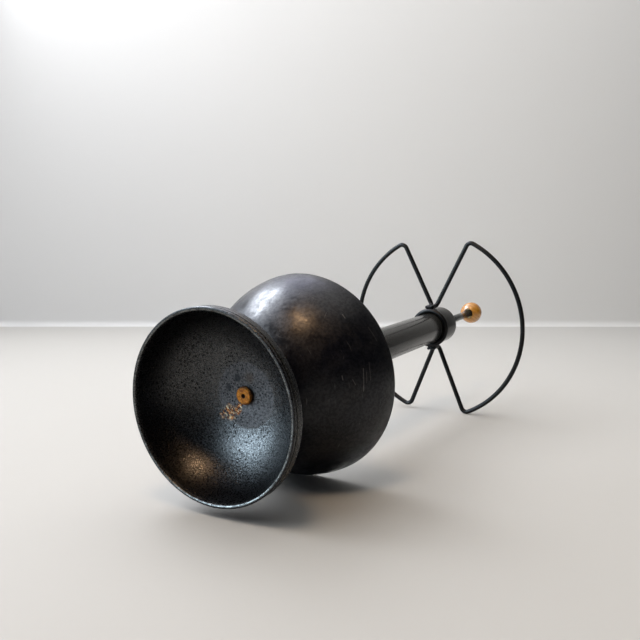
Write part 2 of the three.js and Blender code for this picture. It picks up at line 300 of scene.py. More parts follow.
def foot_paint():
    """Black hammered enamel on cast iron, pitted, bluish in the light, flaked and rusty beside the bolt."""
    s = Shader("foot_paint")
    radius, height = s.place()
    grain = s.noise(620, 2, 0.6)
    pits = s.ramp(s.cells(330), (0.22, 1), (0.36, 0))
    pitted = s.times(pits, s.ramp(s.noise(34, 4, 0.7), (0.42, 0), (0.54, 1)))
    clouds = s.noise(16, 5, 0.6)
    base = s.blend(s.ramp(clouds, (0.35, 0), (0.65, 1)), (0.0015, 0.0016, 0.0020), (0.0060, 0.0064, 0.0080))
    inside = s.times(s.fade(radius, *MOUTH_EDGE, 1.0, 0.0), s.fade(height, *UNDERSIDE_TOP, 1.0, 0.0))
    specks = s.ramp(s.noise(560, 3, 0.75), (0.46, 0), (0.62, 1))
    dusty = s.times(inside, s.fade(radius, 0.040, 0.082, 0.8, 0.06))
    base = s.blend(s.times(specks, dusty), base, (0.060, 0.063, 0.070))

    # The flat disc is greyer than the cove round it.
    disc = s.times(s.fade(radius, *DISC_EDGE, 1.0, 0.0), inside)
    disc_mottle = s.fade(s.noise(420, 4, 0.7), 0.38, 0.62, 0.25, 1.0)
    base = s.blend(s.times(disc, disc_mottle), base, (0.096, 0.092, 0.094))
    base = s.blend(s.times(pitted, 0.9), base, (0.001, 0.001, 0.0012))

    # The face that the foot stands on is worn pale, and so is the lower edge of the band above the groove.
    rim = s.times(s.fade(radius, *RIM_FACE_INNER), s.fade(radius, *RIM_FACE_OUTER, 1.0, 0.0))
    rim = s.times(rim, s.fade(height, *RIM_FACE_HEIGHT, 1.0, 0.0))
    rubbed = s.times(rim, s.ramp(s.noise(150, 5, 0.75), (0.42, 0.15), (0.56, 1)))
    base = s.blend(rubbed, base, (0.15, 0.155, 0.15))
    band_edge = s.times(s.fade(height, *BAND_BOTTOM), s.fade(height, *BAND_TOP, 1.0, 0.0))
    band = s.times(s.fade(radius, *BAND_RADIUS), band_edge)
    worn = s.times(band, s.ramp(s.noise(60, 5, 0.7), (0.35, 0.35), (0.7, 1)))
    base = s.blend(worn, base, (0.034, 0.034, 0.026))

    for spot in SMUDGES:
        centre, reach = on_disc(spot)
        smudge = s.times(s.spot(centre, reach, 0.0015, 0.002), 0.8)
        base = s.blend(smudge, base, (0.018, 0.020, 0.022))
    centre, reach = on_disc(BROWN_STAIN)
    stain = s.times(s.spot(centre, reach, 0.003, 0.004), 0.5)
    base = s.blend(stain, base, (0.050, 0.034, 0.022))

    rusty = 0.0
    for spot in RUST_SPOTS:
        centre, reach = on_disc(spot)
        rusty = s.most(rusty, s.spot(centre, reach, 0.002, 0.006, 320))
    chips = s.noise(290, 3, 0.8, 0.6)
    outline = s.times(rusty, s.ramp(chips, (0.42, 0), (0.48, 1)))
    flakes = s.times(rusty, s.ramp(chips, (0.49, 0), (0.52, 1)))
    rust = s.ramp(s.noise(420, 3, 0.8), (0.40, (0.16, 0.030, 0.012)), (0.47, (0.50, 0.16, 0.030)),
                  (0.52, (0.70, 0.38, 0.14)), (0.57, (0.74, 0.66, 0.50)))
    base = s.blend(s.times(outline, 0.8), base, (0.012, 0.006, 0.004))
    base = s.blend(flakes, base, rust)

    rough = s.fade(grain, 0.42, 0.58, 0.22, 0.42)
    rough = s.most(rough, s.times(flakes, 0.85))
    rough = s.most(rough, s.times(disc, 0.50))
    normal = s.bump(grain, 0.75, 0.0003)
    normal = s.bump(pitted, 0.5, -0.0004, normal)
    normal = s.bump(flakes, 0.6, -0.0005, normal)

    # A black base reflects least where it is metallic, so the metallic value dulls the pits and the edges;
    # where it dims the outer cove, the disc and the rim's lip it is painted shade.
    dull = s.times(s.times(s.ramp(s.noise(820, 2, 0.75), (0.44, 1), (0.53, 0)), inside), 0.8)
    outer = s.times(inside, s.fade(radius, 0.072, 0.090, 0.0, 0.85))
    dull = s.most(dull, s.most(outer, s.times(disc, 0.95)))
    dull = s.most(dull, s.most(pitted, s.fade(radius, *RIM_LIP, 0.0, 0.6)))
    return s.finish(base, rough, normal, dull, specular=0.9)


def scratches(s, scale, stretch, low, high):
    """Thin lines: noise stretched hard along one axis."""
    lines = s.noise(scale, 2, 0.4, 0.3, s.scaled(stretch))
    return s.ramp(lines, (low, 0), (high, 1))


BOWL_SCRATCHES = [                # both ends and width, mm
    ((103.1, -18.6, 130.0), (103.2, 4.7, 127.4), 0.75),
    ((106.0, -24.1, 138.2), (107.6, -5.4, 136.0), 0.55),
    ((105.2, -14.4, 132.8), (105.4, -3.0, 131.4), 0.55),
    ((98.4, -58.6, 155.3), (106.8, -43.2, 157.9), 0.55),
    ((89.3, -14.4, 108.7), (90.0, -10.2, 108.9), 0.80),
    ((96.5, -9.3, 117.3), (98.4, -3.6, 119.5), 0.60),
    ((78.5, -74.5, 137.1), (81.5, -70.8, 136.6), 0.80),
]
BOWL_MIDDLE = Vector((0, 0, BOWL_CENTRE_HEIGHT))
BOWL_RADIUS = 118.3
BOWL_WORN_EDGE = (0.1724, 0.1738)  # heights, metres, over which the rim's wear fades in


def on_bowl(point):
    """A point in mm pushed out to the bowl's surface, in metres."""
    away = (Vector(point) - BOWL_MIDDLE).normalized()
    return (BOWL_MIDDLE + away * BOWL_RADIUS) * MM


def bowl_paint():
    """Black enamel, nearly glossy, with fine scratches, nicks and a faint warm mottle."""
    s = Shader("bowl_paint")
    height = s.place()[1]
    clouds = s.noise(9, 5, 0.65)
    # Black enamel whose blue tint is a painted reflection of the bluish window light.
    base = s.blend(s.ramp(clouds, (0.35, 0), (0.7, 1)), (0.0012, 0.0013, 0.0030), (0.0030, 0.0034, 0.0072))
    warm = s.ramp(s.noise(22, 4, 0.7), (0.55, 0), (0.70, 1))
    base = s.blend(s.times(warm, 0.25), base, (0.016, 0.012, 0.009))
    level, upright = scratches(s, 60, (1, 1, 14), 0.70, 0.76), scratches(s, 45, (12, 1, 1), 0.72, 0.78)
    fine = s.most(level, upright)
    nicks = s.ramp(s.cells(95), (0.0, 1), (0.045, 0))
    sparse = s.ramp(s.noise(14, 3), (0.52, 0), (0.62, 1))
    marks = s.most(s.times(fine, 0.5), s.times(nicks, sparse))
    for start, end, width in BOWL_SCRATCHES:
        middle = (Vector(start) + Vector(end)) / 2
        for first, last in ((start, middle), (middle, end)):
            scratch = s.line(on_bowl(first), on_bowl(last), width * MM)
            marks = s.most(marks, s.times(scratch, width * width + 0.25))
    base = s.blend(s.times(marks, 0.6), base, (0.15, 0.145, 0.14))
    base = s.blend(s.times(s.fade(height, *BOWL_WORN_EDGE), 0.7), base, (0.05, 0.05, 0.048))
    brushed = s.noise(260, 3, 0.6, 0.2, s.scaled((1, 1, 0.18)))
    rough = s.fade(s.noise(60, 5, 0.7), 0.38, 0.62, 0.30, 0.48)
    rough = s.math("ADD", rough, s.times(marks, 0.2))
    normal = s.bump(brushed, 0.30, 0.0004)
    normal = s.bump(s.noise(24, 2, 0.5), 0.22, 0.0014, normal)
    normal = s.bump(marks, 0.3, 0.0002, normal)
    worn = s.times(s.ramp(s.noise(300, 3, 0.7), (0.44, 1), (0.54, 0)), 0.35)
    return s.finish(base, rough, normal, worn, specular=0.34, coat=0.06, coat_roughness=0.24)


def charcoal_paint(name, dark, pale, streak, specular):
    """Charcoal paint, semi-gloss, with faint streaks along the column."""
    s = Shader(name)
    lines = s.noise(55, 4, 0.6, 0.2, s.scaled((1, 1, streak)))
    base = s.blend(s.ramp(lines, (0.3, 0), (0.7, 1)), dark, pale)
    marks = s.times(scratches(s, 80, (1, 1, 0.03), 0.70, 0.76), 0.25)
    base = s.blend(marks, base, (0.12, 0.12, 0.11))
    rough = s.fade(s.noise(40, 4, 0.6), 0.3, 0.7, 0.14, 0.22)
    normal = s.bump(s.noise(420, 3, 0.5), 0.03, 0.0002)
    normal = s.bump(lines, 0.12, 0.0003, normal)
    return s.finish(base, rough, normal, specular=specular)


def wire_paint():
    """Black satin enamel on bent wire, with small chips."""
    s = Shader("wire_paint")
    base = s.blend(s.noise(120, 4), (0.0010, 0.0010, 0.0012), (0.0035, 0.0035, 0.0040))
    patches = s.ramp(s.noise(40, 3), (0.6, 0), (0.68, 1))
    chips = s.times(s.ramp(s.cells(170), (0.0, 1), (0.06, 0)), patches)
    base = s.blend(s.times(chips, 0.6), base, (0.12, 0.11, 0.10))
    rough = s.fade(s.noise(200, 3), 0.3, 0.7, 0.33, 0.48)
    normal = s.bump(s.noise(700, 3, 0.5), 0.2, 0.0003)
    return s.finish(base, rough, normal, specular=0.2)


BOLT_SIDE_SHADE = (0.0582, 0.0590)      # heights, metres, over which the head's side is painted dark as shade
BOLT_RECESS = (0.0021, 0.0027)
BOLT_WORN_EDGE = (0.0022, 0.0008)  # from the head's edge inwards


def rusty_steel():
    """Steel gone orange with rust, pitted and matte."""
    s = Shader("rusty_steel")
    radius, height = s.place()
    coarse = s.noise(210, 6, 0.7, 0.4)
    base = s.blend(s.ramp(coarse, (0.36, 0), (0.62, 1)), (0.34, 0.100, 0.009), (0.88, 0.36, 0.026))
    base = s.blend(s.ramp(s.noise(420, 4, 0.7), (0.56, 0), (0.68, 1)), base, (0.66, 0.42, 0.16))
    base = s.blend(s.ramp(s.cells(380), (0.0, 0.9), (0.16, 0)), base, (0.03, 0.012, 0.006))
    # The recess and the head's side are painted dark as shade; the worn edge of the face is darkened with
    # dirt.
    recess = s.fade(radius, *BOLT_RECESS, 1.0, 0.0)
    edge = spans("foot_bolt")[0] * MM
    dirty = s.ramp(s.noise(260, 3, 0.7), (0.36, 0.15), (0.56, 0.8))
    worn_edge = s.times(s.fade(radius, *(edge - inset for inset in BOLT_WORN_EDGE)), dirty)
    side = s.times(s.fade(height, *BOLT_SIDE_SHADE), 0.92)
    grime_and_painted_shade = s.most(recess, s.most(side, worn_edge))
    base = s.blend(grime_and_painted_shade, base, (0.014, 0.005, 0.002))
    rough = s.fade(coarse, 0.3, 0.7, 0.72, 0.92)
    normal = s.bump(coarse, 0.8, 0.0006)
    normal = s.bump(s.noise(1300, 3, 0.6), 0.5, 0.0003, normal)
    return s.finish(base, rough, normal, metallic=0.15, specular=0.3)


def bare_metal(name, dark, pale, stretch):
    """Turned or plated metal with fine tool marks."""
    s = Shader(name)
    lines = s.noise(300, 3, 0.5, 0.0, s.scaled(stretch))
    base = s.blend(lines, dark, pale)
    tarnish = s.times(s.ramp(s.noise(70, 5, 0.7), (0.5, 0), (0.8, 1)), 0.4)
    base = s.blend(tarnish, base, (0.16, 0.14, 0.12))
    rough = s.fade(s.noise(150, 4), 0.3, 0.7, 0.26, 0.45)
    normal = s.bump(lines, 0.3, 0.0002)
    return s.finish(base, rough, normal, metallic=1.0)


def rubber():
    """Matte black rubber with a chalky bloom."""
    s = Shader("rubber")
    base = s.blend(s.noise(90, 5, 0.6), (0.010, 0.010, 0.010), (0.035, 0.034, 0.032))
    rough = s.fade(s.noise(260, 3), 0.3, 0.7, 0.72, 0.9)
    return s.finish(base, rough, s.bump(s.noise(900, 3), 0.3, 0.0003), specular=0.3)


BALL_HOLE_EDGE = (0.0080, 0.0090)
BALL_HOLE_TOP = (0.760, 0.764)    # heights, metres, over which the painted shade in the rod's hole fades out


def lacquered_wood():
    """Honey-coloured turned wood under gloss lacquer, with growth rings and pores."""
    s = Shader("lacquered_wood")
    tilted = s.node("ShaderNodeMapping", {"Vector": s.coordinates, "Rotation": (0.5, 0.35, 0.0),
                                          "Scale": (1, 1, 0.22)}).outputs[0]
    rings = s.node("ShaderNodeTexWave", {"Vector": tilted, "Scale": 70, "Distortion": 5.5, "Detail": 3,
                                         "Detail Scale": 1.4, "Detail Roughness": 0.6},
                   wave_type="RINGS", rings_direction="Z").outputs[1]
    base = s.ramp(rings, (0.0, (0.50, 0.210, 0.024)), (0.5, (0.57, 0.255, 0.032)),
                  (1.0, (0.62, 0.290, 0.042)))
    pores = s.ramp(s.noise(900, 2, 0.5, 0, s.scaled((1, 1, 0.12))), (0.62, 0), (0.72, 1))
    base = s.blend(s.times(pores, 0.3), base, (0.30, 0.095, 0.014))
    blotches = s.ramp(s.noise(60, 4, 0.6), (0.35, 0), (0.7, 1))
    base = s.blend(s.times(blotches, 0.35), base, (0.44, 0.165, 0.018))
    radius, height = s.place()
    # Painted shade: the walls of the rod's hole are darker brown.
    hole = s.times(s.fade(radius, *BALL_HOLE_EDGE, 1.0, 0.0), s.fade(height, *BALL_HOLE_TOP, 1.0, 0.0))
    base = s.blend(s.times(hole, 0.8), base, (0.16, 0.045, 0.008))
    rough = s.fade(s.noise(120, 4), 0.3, 0.7, 0.26, 0.38)
    normal = s.bump(rings, 0.04, 0.0003)
    normal = s.bump(s.noise(140, 3), 0.08, 0.0004, normal)
    return s.finish(base, rough, normal, specular=0.5, coat=0.8, coat_roughness=0.12)


SET_FADE = (-0.8, 1.2)            # metres along the set's right, from its darker to its paler colour; the darker left is painted shade where the lights fall strongest


def one_sided(name, dark, pale):
    """Matte set material, paler to the right as painted shade on its brighter-lit left, that can't be seen,
    and lets light through, from behind.
    """
    s = Shader(name)
    side = s.vector("DOT_PRODUCT", {0: s.coordinates, 1: set_right})
    # Painted shade: darker towards the left, where the lights fall strongest.
    across = s.fade(side, *SET_FADE, 0.0, 0.9)
    colour = s.blend(s.math("ADD", across, s.times(s.noise(1.6, 6, 0.62), 0.1)), dark, pale)
    s.finish(colour, 0.7, s.bump(s.noise(60, 5, 0.6), 0.05, 0.001), specular=0.15)
    clear = s.tree.nodes.new("ShaderNodeBsdfTransparent")
    mixed = s.tree.nodes.new("ShaderNodeMixShader")
    behind = s.tree.nodes.new("ShaderNodeNewGeometry").outputs["Backfacing"]
    s.tree.links.new(behind, mixed.inputs[0])
    s.tree.links.new(s.surface.outputs[0], mixed.inputs[1])
    s.tree.links.new(clear.outputs[0], mixed.inputs[2])
    s.tree.links.new(mixed.outputs[0], s.output.inputs["Surface"])
    return s.material


MATERIALS = {
    "foot_paint": foot_paint(),
    "bowl_paint": bowl_paint(),
    "column_paint": charcoal_paint("column_paint", (0.015, 0.015, 0.0145), (0.030, 0.030, 0.028), 0.02, 0.26),
    "cap_paint": charcoal_paint("cap_paint", (0.006, 0.006, 0.0055), (0.013, 0.013, 0.0115), 0.3, 0.14),
    "rod_paint": charcoal_paint("rod_paint", (0.022, 0.024, 0.025), (0.046, 0.050, 0.050), 0.1, 0.3),
    "wire_paint": wire_paint(),
    "rusty_steel": rusty_steel(),
    "bare_steel": bare_metal("bare_steel", (0.38, 0.38, 0.37), (0.62, 0.62, 0.60), (1, 1, 8)),
    "brass": bare_metal("brass", (0.48, 0.33, 0.12), (0.72, 0.54, 0.24), (1, 1, 8)),
    "rubber": rubber(),
    "lacquered_wood": lacquered_wood(),
}


# ---- mesh helpers ---------------------------------------------------------------------------

def arc(centre, radius, start, end, steps):
    """Points of a circular arc in the (radius, height) plane; angles in degrees."""
    angles = [math.radians(start + (end - start) * i / steps) for i in range(steps + 1)]
    return [(centre[0] + radius * math.cos(a), centre[1] + radius * math.sin(a)) for a in angles]


def rounded(outline, steps=5):
    """Turns (x, y, fillet) corners of an outline into small arcs; (x, y) points stay as they are."""
    made = []
    for i, point in enumerate(outline):
        if len(point) == 2 or i in (0, len(outline) - 1):
            made.append(Vector(point[:2]))
            continue
        corner = Vector(point[:2])
        back = (Vector(outline[i - 1][:2]) - corner).normalized()
        ahead = (Vector(outline[i + 1][:2]) - corner).normalized()
        half = back.angle(ahead) / 2
        reach = point[2] / math.tan(half)
        centre = corner + (back + ahead).normalized() * point[2] / math.sin(half)
        first, last = corner + back * reach - centre, corner + ahead * reach - centre
        sweep = first.angle_signed(last)
        made += [centre + Matrix.Rotation(-sweep * k / steps, 2) @ first for k in range(steps + 1)]
    return [(p.x, p.y) for p in made]


def mesh_of(work, name):
    """Turns a finished bmesh into a mesh."""
    mesh = bpy.data.meshes.new(name)
    work.to_mesh(mesh)
    work.free()
    return mesh


def shown_mesh(holder):
    """The mesh of an object as it looks with its curve bevel or modifiers applied."""
    bpy.context.view_layer.update()
    return bpy.data.meshes.new_from_object(holder.evaluated_get(bpy.context.evaluated_depsgraph_get()))


def skin(work, rings, steps, closed):
    """Joins neighbouring rings of points with faces; a ring can be one point on the axis."""
    pairs = zip(rings, rings[1:] + rings[:1]) if closed else zip(rings, rings[1:])
    for lower, upper in pairs:
        for k in range(steps):
            n = (k + 1) % steps
            corners = [lower[k % len(lower)], lower[n % len(lower)],
                       upper[n % len(upper)], upper[k % len(upper)]]
            work.faces.new(list(dict.fromkeys(corners)))
    bmesh.ops.recalc_face_normals(work, faces=work.faces)


def add_piece(name, mesh, body, slot, *nodes):
    """Puts a finished mesh on its body, in its slot, in place of its CAD nodes."""
    piece = bpy.data.objects.new(name, mesh)
    bpy.context.scene.collection.objects.link(piece)
    mesh.materials.clear()
    mesh.materials.append(MATERIALS[slot])
    mesh.polygons.foreach_set("use_smooth", [True] * len(mesh.polygons))
    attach(piece, body)
    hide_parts(*nodes)
    return piece


def turned_mesh(name, profile, steps):
    """Turns (radius, height) points, in mm and anticlockwise, about the column's axis."""
    closed = profile[0] == profile[-1]
    points = profile[:-1] if closed else profile
    work = bmesh.new()
    rings = []
    for radius, height in points:
        if radius < ON_AXIS:
            rings.append([work.verts.new((0, 0, height * MM))])
            continue
        angles = [2 * math.pi * k / steps for k in range(steps)]
        rings.append([work.verts.new((radius * MM * math.cos(a), radius * MM * math.sin(a), height * MM))
                      for a in angles])
    skin(work, rings, steps, closed)
    return mesh_of(work, name)


def turned(name, profile, body, slot, steps=96):
    """Adds a turned piece in place of the CAD node that it is the fine version of."""
    add_piece(name, turned_mesh(name, profile, steps), body, slot, name.removesuffix("_fine"))


def swept_mesh(name, path, closed=False):
    """Round wire along a path of points in metres."""
    curve = bpy.data.curves.new(name, "CURVE")
    curve.dimensions = "3D"
    curve.bevel_depth = WIRE_RADIUS * MM
    curve.bevel_resolution = WIRE_BEVEL_STEPS
    curve.use_fill_caps = not closed
    spline = curve.splines.new("POLY")
    spline.points.add(len(path) - 1)
    for point, place in zip(spline.points, path):
        point.co = (*place, 1)
    spline.use_cyclic_u = closed
    holder = bpy.data.objects.new(name, curve)
    bpy.context.scene.collection.objects.link(holder)
    mesh = shown_mesh(holder)
    bpy.data.objects.remove(holder)
    mesh.name = name
    return mesh


# ---- base -----------------------------------------------------------------------------------

def cove_arc(underside, offset, from_height, to_height, steps):
    """The foot's cove, moved outwards by offset, from one height to another."""
    crease = math.radians(FOOT_CREASE)
    cove = underside / (math.cos(crease) - math.sin(crease))
    shift = cove * math.sin(crease)
    radius = cove + offset
    start, end = (math.degrees(math.asin((height + shift) / radius)) for height in (from_height, to_height))
    return arc((FOOT_DISC_RADIUS - shift, -shift), radius, start, end, steps)


def make_foot():
    """Cast foot: flat disc, cove, and a rim with a groove between its lip and its band."""
    radius, _, top = spans("foot_shell")
    underside = top - FOOT_WALL
    groove = radius - RIM_GROOVE_DEPTH
    groove_top = RIM_LIP_HEIGHT + RIM_GROOVE_WIDTH
    band = radius - RIM_BAND_INSET
    outside = cove_arc(underside, FOOT_WALL, RIM_BAND_HEIGHT + RIM_SHOULDER, top, 60)
    profile = rounded([
        (FOOT_DISC_RADIUS + underside, 0, 0.1),
        (radius - RIM_EDGE, 0, 0.7),
        (radius, RIM_EDGE, 0.5),
        (radius, RIM_LIP_HEIGHT, 0.4),
        (groove, RIM_LIP_HEIGHT + RIM_GROOVE_SLOPE, 0.3),
        (groove, groove_top, 0.3),
        (band, groove_top + RIM_SHOULDER, 0.3),
        (band, RIM_BAND_HEIGHT, 0.8),
        outside[0],
    ])[:-1]
    profile += outside
    profile += rounded([outside[-1], (BOLT_CLEAR_HOLE, top, 0.4), (BOLT_CLEAR_HOLE, underside, 0.6),
                        (FOOT_DISC_RADIUS, underside)])[1:-1]
    profile += cove_arc(underside, 0, underside, 0, 70)
    profile[-1] = profile[0]
    turned("foot_shell_fine", profile, "stand", "foot_paint", ROUND_STEPS)


def make_foot_bolt():
    """Round-headed bolt with a recess for a driver, its shank up through the foot."""
    radius, low, high = spans("foot_bolt")
    head_top = low + BOLT_HEAD_HEIGHT
    inset, rise = BOLT_HEAD_CHAMFER
    profile = rounded([
        (0, low + BOLT_RECESS_DEPTH),
        (BOLT_RECESS_RADIUS, low + BOLT_RECESS_DEPTH, 0.2),
        (BOLT_RECESS_RADIUS, low + BOLT_RECESS_EDGE, 0.5),
        (radius - inset, low, 1.2),
        (radius, low + rise, 1.2),
        (radius, head_top, 0.3),
        (BOLT_RADIUS, head_top, 0.2),
        (BOLT_RADIUS, high, 0.4),
        (0, high),
    ])
    turned("foot_bolt_fine", profile, "stand", "rusty_steel")


def make_bowl():
    """Thin bowl, part of a sphere, with a rounded lip."""
    radius, bottom, rim = spans("bowl")
    sphere = math.hypot(radius, rim - BOWL_CENTRE_HEIGHT)
    inside = sphere - BOWL_WALL
    centre = (0, BOWL_CENTRE_HEIGHT)
    floor = bottom + BOWL_WALL

    def angle(of_sphere, height):
        return math.degrees(math.asin((height - BOWL_CENTRE_HEIGHT) / of_sphere))

    lip_start = rim - BOWL_LIP
    outer = arc(centre, sphere, angle(sphere, bottom), angle(sphere, lip_start), 110)
    inner = arc(centre, inside, angle(inside, lip_start), angle(inside, floor), 110)
    middle = (outer[-1][0] + inner[0][0]) / 2
    lip = arc((middle, rim - BOWL_WALL / 2), BOWL_WALL / 2, 0, 180, 8)[1:-1]
    profile = [(BOLT_CLEAR_HOLE, bottom), *outer, *lip, *inner, (BOLT_CLEAR_HOLE, floor),
               (BOLT_CLEAR_HOLE, bottom)]
    turned("bowl_fine", profile, "stand", "bowl_paint", ROUND_STEPS)


def make_ring(node, inner, slot, fillet, body="stand"):
    """Washer, gasket, plug, sleeve or tube: a ring with softened edges."""
    outer, low, high = spans(node)
    outline = [(inner, (low + high) / 2), (inner, low, fillet), (outer, low, fillet), (outer, high, fillet),
               (inner, high, fillet), (inner, (low + high) / 2)]
    turned(node + "_fine", rounded(outline), body, slot)


def make_column():
    """Column tube with the gaskets under it and the plugs in its ends."""
    make_ring("column_tube", spans("column_tube")[0] - TUBE_WALL, "column_paint", 0.4)
    make_ring("foot_gasket", BOLT_CLEAR_HOLE, "rubber", 0.8)
    make_ring("floor_gasket", BOLT_CLEAR_HOLE, "rubber", 0.6)
    make_ring("bottom_plug", BOLT_THREAD_HOLE, "bare_steel", 0.5)
    make_ring("top_plug", ROD_THREAD_HOLE, "bare_steel", 0.5)


# ---- rack -----------------------------------------------------------------------------------

def make_cap():
    """Cap over the column's top, open below, with a hole for the rod."""
    radius, low, high = spans("top_cap")
    roof = high - CAP_ROOF
    profile = rounded([
        (CAP_BORE, (low + roof) / 2),
        (CAP_BORE, low, 0.6),
        (radius, low, 0.7),
        (radius, high, CAP_EDGE),
        (ROD_CLEAR_HOLE, high, 0.5),
        (ROD_CLEAR_HOLE, roof, 0.3),
        (CAP_BORE, roof, 1.0),
        (CAP_BORE, (low + roof) / 2),
    ], steps=8)
    turned("top_cap_fine", profile, "rack", "cap_paint", 160)


def half_loop(side, degrees, shape, heights, leg):
    """Leg beside the cap, bend, straight side and corner of a loop; side is -1 or 1 along Y."""
    leg_end, loop_height = heights
    angle = math.radians(degrees)
    start = Vector((leg[0], side * leg[1]))
    along = Vector((math.cos(angle), side * math.sin(angle)))
    inward = Vector((math.sin(angle), -side * math.cos(angle)))
    offset = start + inward * shape["corner"] + Vector((LOOP_ARC_OFFSET, 0))
    reach = shape["sweep"] - shape["corner"]
    half = offset.dot(along)
    to_corner = offset + along * (math.sqrt(half * half - offset.length_squared + reach * reach) - half)
    corner = to_corner - Vector((LOOP_ARC_OFFSET, 0))
    sweep_degrees = math.degrees(math.atan2(to_corner.y, to_corner.x))
    path = [Vector((*start, leg_end))]
    for out, up in arc((LEG_BEND_RADIUS, 0), LEG_BEND_RADIUS, 180, 90, 12):
        path.append(Vector((*(start + along * out), loop_height - LEG_BEND_RADIUS + up)))
    for x, y in arc(corner, shape["corner"], side * (90 + degrees), sweep_degrees, 20):
        path.append(Vector((x, y, loop_height)))
    return path, sweep_degrees


def make_loop(node, mirror, shape):
    """One wire loop of the rack; mirror is 1 for the right one and -1 for the left one."""
    cap_radius = spans("top_cap")[0]
    _, low, high = spans(node)
    heights = (low, high - WIRE_RADIUS)
    leg = (WIRE_RADIUS + LEG_SIDE_GAP, cap_radius + WIRE_RADIUS + LEG_CAP_GAP)
    lower, first = half_loop(-1, shape["angles"][0], shape, heights, leg)
    upper, last = half_loop(1, shape["angles"][1], shape, heights, leg)
    sweep = arc((-LOOP_ARC_OFFSET, 0), shape["sweep"], first, last, 120)[1:-1]
    path = lower + [Vector((x, y, heights[1])) for x, y in sweep] + upper[::-1]
    path = [Vector((p.x * mirror, p.y, p.z)) * MM for p in path]
    add_piece(node + "_fine", swept_mesh(node + "_fine", path), "rack", "wire_paint", node)


def make_rack_ring():
    """Wire ring under the cap that the loops' legs are welded to."""
    outer, low, high = spans("rack_ring")
    steps = 119
    last = 360 * steps / (steps + 1)
    middle = (low + high) / 2
    circle = [Vector((x, y, middle)) * MM for x, y in arc((0, 0), outer - WIRE_RADIUS, 0, last, steps)]
    mesh = swept_mesh("rack_ring_fine", circle, closed=True)
    add_piece("rack_ring_fine", mesh, "rack", "wire_paint", "rack_ring")


def make_weld(node, seed):
    """Lumpy weld bead: small overlapping balls, melted into one skin."""
    low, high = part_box(node)
    centre, half = (low + high) / 2, (high - low) / 2
    rng = random.Random(seed)
    work = bmesh.new()
    for k in range(WELD_BALLS):
        across = -1 + 2 * k / (WELD_BALLS - 1)
        smallest, largest = WELD_BALL_SIZES
        size = half.z * (smallest + (largest - smallest) * rng.random())
        place = centre + Vector((across * (half.x - size), (rng.random() - 0.5) * half.y * WELD_SCATTER,
                                 (rng.random() - 0.5) * half.z * WELD_SCATTER))
        bmesh.ops.create_icosphere(work, subdivisions=3, radius=size, matrix=Matrix.Translation(place))
    piece = add_piece(node + "_fine", mesh_of(work, node + "_fine"), "rack", "wire_paint", node)
    remesh = piece.modifiers.new("melt", "REMESH")
    remesh.mode = "VOXEL"
    remesh.voxel_size = WELD_VOXEL * MM
    remesh.use_smooth_shade = True
    smooth = piece.modifiers.new("soften", "SMOOTH")
    smooth.iterations = 3
    melted = shown_mesh(piece)
    piece.modifiers.clear()
    piece.data = melted
    melted.materials.clear()
    melted.materials.append(MATERIALS["wire_paint"])


# ---- handle ---------------------------------------------------------------------------------

def make_rod():
    """Rod with V-shaped rings for a thread, from the plug to above the nut and in the ball."""
    radius, low, high = spans("handle_rod")
    lower = (low + THREAD_RUNOUT, spans("cap_nut")[2] + THREAD_ABOVE_NUT)
    upper = (spans("ball_insert")[1] - THREAD_BELOW_INSERT, high - THREAD_RUNOUT)
    profile = [(0, low), (radius - ROD_CHAMFER, low), (radius, low + ROD_CHAMFER)]
    for start, end in (lower, upper):
        turns = int((end - start) / THREAD_PITCH)
        for k in range(turns):
            height = start + k * THREAD_PITCH
            profile += [(radius, height), (radius - THREAD_DEPTH, height + THREAD_PITCH * 0.5)]
        profile.append((radius, start + turns * THREAD_PITCH))
    profile += [(radius, high - ROD_CHAMFER), (radius - ROD_CHAMFER, high), (0, high)]
    turned("handle_rod_fine", profile, "stand", "rod_paint", 64)


def make_nut():
    """Hexagon nut with both faces chamfered to a circle."""
    _, low, high = spans("cap_nut")
    flat = NUT_ACROSS_FLATS / 2
    corner = flat / math.cos(math.pi / 6)
    hole = ROD_THREAD_HOLE
    mouth = hole + NUT_HOLE_CHAMFER
    outline = [(mouth, low), (flat, low), (corner, low + NUT_CHAMFER), (corner, high - NUT_CHAMFER),
               (flat, high), (mouth, high), (hole, high - NUT_HOLE_CHAMFER), (hole, low + NUT_HOLE_CHAMFER)]
    work = bmesh.new()
    rings = []
    for radius, height in outline:
        ring = []
        for k in range(NUT_STEPS):
            angle = 2 * math.pi * k / NUT_STEPS
            side = flat / math.cos((angle % (math.pi / 3)) - math.pi / 6)
            reach = min(radius, side) * MM
            ring.append(work.verts.new((reach * math.cos(angle), reach * math.sin(angle), height * MM)))
        rings.append(ring)
    skin(work, rings, NUT_STEPS, closed=True)
    mesh = mesh_of(work, "cap_nut_fine")
    add_piece("cap_nut_fine", mesh, "nut", "bare_steel", "cap_nut")
    mesh.polygons.foreach_set("use_smooth", [False] * len(mesh.polygons))


def make_ball():
    """Wooden ball with a blind hole from below for the rod and the insert."""
    radius, _, high = spans("ball_knob")
    centre = high - radius
    hole_top = centre + BALL_HOLE_DEPTH_ABOVE_CENTRE
    mouth = BALL_HOLE_RADIUS + BALL_MOUTH_EASE
    start = -math.degrees(math.acos(mouth / radius))
    surface = arc((0, centre), radius, start, 90, 60)
    profile = rounded([(0, hole_top), (BALL_HOLE_RADIUS, hole_top, 0.3),
                       (BALL_HOLE_RADIUS, surface[0][1] + BALL_MOUTH_RISE, 0.8), surface[2]])[:-1]
    profile += surface[2:-1] + [(0, high)]
    turned("ball_knob_fine", profile, "ball", "lacquered_wood", 128)


# ---- set and light --------------------------------------------------------------------------

